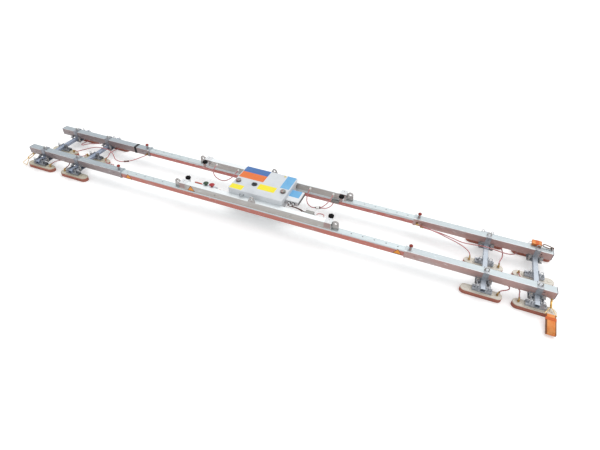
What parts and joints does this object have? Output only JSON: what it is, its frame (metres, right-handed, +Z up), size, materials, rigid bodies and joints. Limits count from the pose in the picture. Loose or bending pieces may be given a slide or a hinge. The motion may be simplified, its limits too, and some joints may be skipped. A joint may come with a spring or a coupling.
{
  "type": "vacuum panel lifter",
  "caption": "Twin-beam vacuum lifter for profiled roof panels: sliding end frames with rows of suction pads, a lidded vacuum unit, lifting lugs, locking pins, hoses and safety straps.",
  "frame": {"origin": "under the middle of the machine, on the floor that the suction pads stand on", "axes": "+X along the beams to the right end, +Y from the near beam to the far beam, +Z up"},
  "size_m": [5.2164, 0.923, 0.3033],
  "materials": {
    "beams": "satin, mill finish",
    "sleeves": "satin, mill finish",
    "upper_tubes": "satin",
    "cross_members": "satin",
    "end_brackets": "white powder coat",
    "lifting_lugs": "zinc plated",
    "case_tub": "pale grey powder coat",
    "battery": "moulded",
    "vacuum_pumps": "cast",
    "control_board": "circuit board",
    "hinge_pins": "satin",
    "valve_block": "machined",
    "side_unit": "moulded",
    "junction_box": "moulded",
    "tube_fittings": "moulded",
    "hoses": "translucent red hose",
    "lid": "moulded, near white",
    "vacuum_gauges": "polished bezel",
    "gauge_needles": "black",
    "main_switch": "moulded",
    "star_knobs": "moulded, fine grain",
    "release_button": "moulded",
    "grip_button": "moulded",
    "end_caps": "moulded",
    "cross_bars": "satin",
    "crossing_clamps": "satin",
    "clamp_bolts": "zinc plated",
    "pad_plates": "cast, off-white",
    "pad_seals": "red-brown natural rubber",
    "pad_bridges": "zinc plated",
    "hose_fittings": "dull brass",
    "lock_pins": "moulded knob",
    "snap_hooks": "yellow zinc plating",
    "stowed_hook": "brown coated",
    "strap_rings": "zinc plated",
    "straps": "orange webbing"
  },
  "bodies": {
    "centre_frame": {"beam_near": "beams", "beam_far": "beams", "upper_tubes": "upper_tubes", "cross_members": "cross_members", "end_brackets": "end_brackets", "lifting_lugs": "lifting_lugs", "case_tub": "case_tub", "battery": "battery", "vacuum_pumps": "vacuum_pumps", "control_board": "control_board", "hinge_pins": "hinge_pins", "valve_block": "valve_block", "side_unit": "side_unit", "junction_box": "junction_box", "tube_fittings": "tube_fittings", "centre_hoses": "hoses"},
    "lid": {"lid": "lid", "vacuum_gauges": "vacuum_gauges"},
    "left_end_frame": {"sleeves_left": "sleeves", "end_caps_left": "end_caps", "cross_bars_left": "cross_bars", "crossing_clamps_left": "crossing_clamps", "clamp_bolts_left": "clamp_bolts", "pad_plates_left": "pad_plates", "pad_seals_left": "pad_seals", "pad_bridges_left": "pad_bridges", "hose_fittings_left": "hose_fittings", "hoses_left": "hoses"},
    "right_end_frame": {"sleeves_right": "sleeves", "end_caps_right": "end_caps", "cross_bars_right": "cross_bars", "crossing_clamps_right": "crossing_clamps", "clamp_bolts_right": "clamp_bolts", "pad_plates_right": "pad_plates", "pad_seals_right": "pad_seals", "pad_bridges_right": "pad_bridges", "hose_fittings_right": "hose_fittings", "hoses_right": "hoses", "strap_far": "straps"},
    "strap_set_right": {"strap_ring_right": "strap_rings", "strap_near": "straps"},
    "gauge_needle_left": {"gauge_needle_left": "gauge_needles"},
    "gauge_needle_right": {"gauge_needle_right": "gauge_needles"},
    "main_switch": {"main_switch": "main_switch"},
    "star_knob_near_left": {"star_knob_near_left": "star_knobs"},
    "star_knob_near_right": {"star_knob_near_right": "star_knobs"},
    "star_knob_far_left": {"star_knob_far_left": "star_knobs"},
    "star_knob_far_right": {"star_knob_far_right": "star_knobs"},
    "release_button": {"release_button": "release_button"},
    "grip_button": {"grip_button": "grip_button"},
    "lock_pin_near_left": {"lock_pin_near_left": "lock_pins"},
    "lock_pin_far_left": {"lock_pin_far_left": "lock_pins"},
    "lock_pin_near_right": {"lock_pin_near_right": "lock_pins"},
    "lock_pin_far_right": {"lock_pin_far_right": "lock_pins"},
    "hook_near_left": {"hook_near_left": "snap_hooks"},
    "hook_near_right": {"hook_near_right": "snap_hooks"},
    "hook_far_right": {"hook_far_right": "stowed_hook"},
    "hook_gate_left": {"hook_gate_left": "snap_hooks"},
    "hook_gate_right": {"hook_gate_right": "snap_hooks"},
    "strap_ring_left": {"strap_ring_left": "strap_rings"}
  },
  "joints": [
    {"name": "left_end_slide", "type": "slide", "parent": "centre_frame", "child": "left_end_frame", "axis": [-1, 0, 0], "range_m": [-0.5, 0.3]},
    {"name": "right_end_slide", "type": "slide", "parent": "centre_frame", "child": "right_end_frame", "axis": [1, 0, 0], "range_m": [-0.5, 0.3]},
    {"name": "lock_pin_near_left_push", "type": "slide", "parent": "left_end_frame", "child": "lock_pin_near_left", "axis": [0, 0, -1], "range_m": [0, 0.009]},
    {"name": "lock_pin_far_left_push", "type": "slide", "parent": "left_end_frame", "child": "lock_pin_far_left", "axis": [0, 0, -1], "range_m": [0, 0.009]},
    {"name": "lock_pin_near_right_push", "type": "slide", "parent": "right_end_frame", "child": "lock_pin_near_right", "axis": [0, 0, -1], "range_m": [0, 0.009]},
    {"name": "lock_pin_far_right_push", "type": "slide", "parent": "right_end_frame", "child": "lock_pin_far_right", "axis": [0, 0, -1], "range_m": [0, 0.009]},
    {"name": "star_knob_near_left_turn", "type": "hinge", "parent": "centre_frame", "child": "star_knob_near_left", "pos_m": [-0.712, -0.154, 0.2263], "axis": [0, 0, 1], "range_deg": [0, 720]},
    {"name": "star_knob_far_left_turn", "type": "hinge", "parent": "centre_frame", "child": "star_knob_far_left", "pos_m": [-0.712, 0.154, 0.2263], "axis": [0, 0, 1], "range_deg": [0, 720]},
    {"name": "star_knob_near_right_turn", "type": "hinge", "parent": "centre_frame", "child": "star_knob_near_right", "pos_m": [0.712, -0.154, 0.2263], "axis": [0, 0, 1], "range_deg": [0, 720]},
    {"name": "star_knob_far_right_turn", "type": "hinge", "parent": "centre_frame", "child": "star_knob_far_right", "pos_m": [0.712, 0.154, 0.2263], "axis": [0, 0, 1], "range_deg": [0, 720]},
    {"name": "lid_hinge", "type": "hinge", "parent": "centre_frame", "child": "lid", "pos_m": [0, 0.2085, 0.252], "axis": [-1, 0, 0], "range_deg": [0, 90]},
    {"name": "main_switch_turn", "type": "hinge", "parent": "lid", "child": "main_switch", "pos_m": [-0.062, -0.061, 0.285], "axis": [0, 0, -1], "range_deg": [0, 90]},
    {"name": "gauge_needle_left_turn", "type": "hinge", "parent": "lid", "child": "gauge_needle_left", "pos_m": [-0.222, -0.065, 0.295], "axis": [0, 0, -1], "range_deg": [0, 250]},
    {"name": "gauge_needle_right_turn", "type": "hinge", "parent": "lid", "child": "gauge_needle_right", "pos_m": [0.222, -0.065, 0.295], "axis": [0, 0, -1], "range_deg": [0, 250]},
    {"name": "release_button_push", "type": "slide", "parent": "centre_frame", "child": "release_button", "axis": [0, 0, -1], "range_m": [0, 0.006]},
    {"name": "grip_button_push", "type": "slide", "parent": "centre_frame", "child": "grip_button", "axis": [0, 0, -1], "range_m": [0, 0.006]},
    {"name": "hook_near_left_swing", "type": "hinge", "parent": "left_end_frame", "child": "hook_near_left", "pos_m": [-2.562, -0.244, 0.087], "axis": [-1, 0, 0], "range_deg": [-55, 12]},
    {"name": "hook_gate_left_open", "type": "hinge", "parent": "hook_near_left", "child": "hook_gate_left", "pos_m": [-2.57065, -0.27231, 0.08793], "axis": [0.9563, -0.2924, 0], "range_deg": [0, 25], "stiffness_Nm_per_rad": 0.02, "springref_deg": -22.92},
    {"name": "hook_near_right_swing", "type": "hinge", "parent": "right_end_frame", "child": "hook_near_right", "pos_m": [2.523, -0.244, 0.087], "axis": [-1, 0, 0], "range_deg": [0, 12]},
    {"name": "hook_gate_right_open", "type": "hinge", "parent": "hook_near_right", "child": "hook_gate_right", "pos_m": [2.523, -0.2736, 0.08793], "axis": [1, 0, 0], "range_deg": [0, 25], "stiffness_Nm_per_rad": 0.02, "springref_deg": -22.92},
    {"name": "strap_ring_left_swing", "type": "hinge", "parent": "hook_near_left", "child": "strap_ring_left", "pos_m": [-2.58142, -0.30753, 0.06282], "axis": [-0.9563, 0.2924, 0], "range_deg": [-20, 70]},
    {"name": "strap_set_right_swing", "type": "hinge", "parent": "hook_near_right", "child": "strap_set_right", "pos_m": [2.523, -0.31044, 0.06282], "axis": [-1, 0, 0], "range_deg": [0, 40]},
    {"name": "hook_far_right_lift", "type": "hinge", "parent": "right_end_frame", "child": "hook_far_right", "pos_m": [2.519, 0.245, 0.187], "axis": [0, 1, 0], "range_deg": [0, 100]}
  ]
}
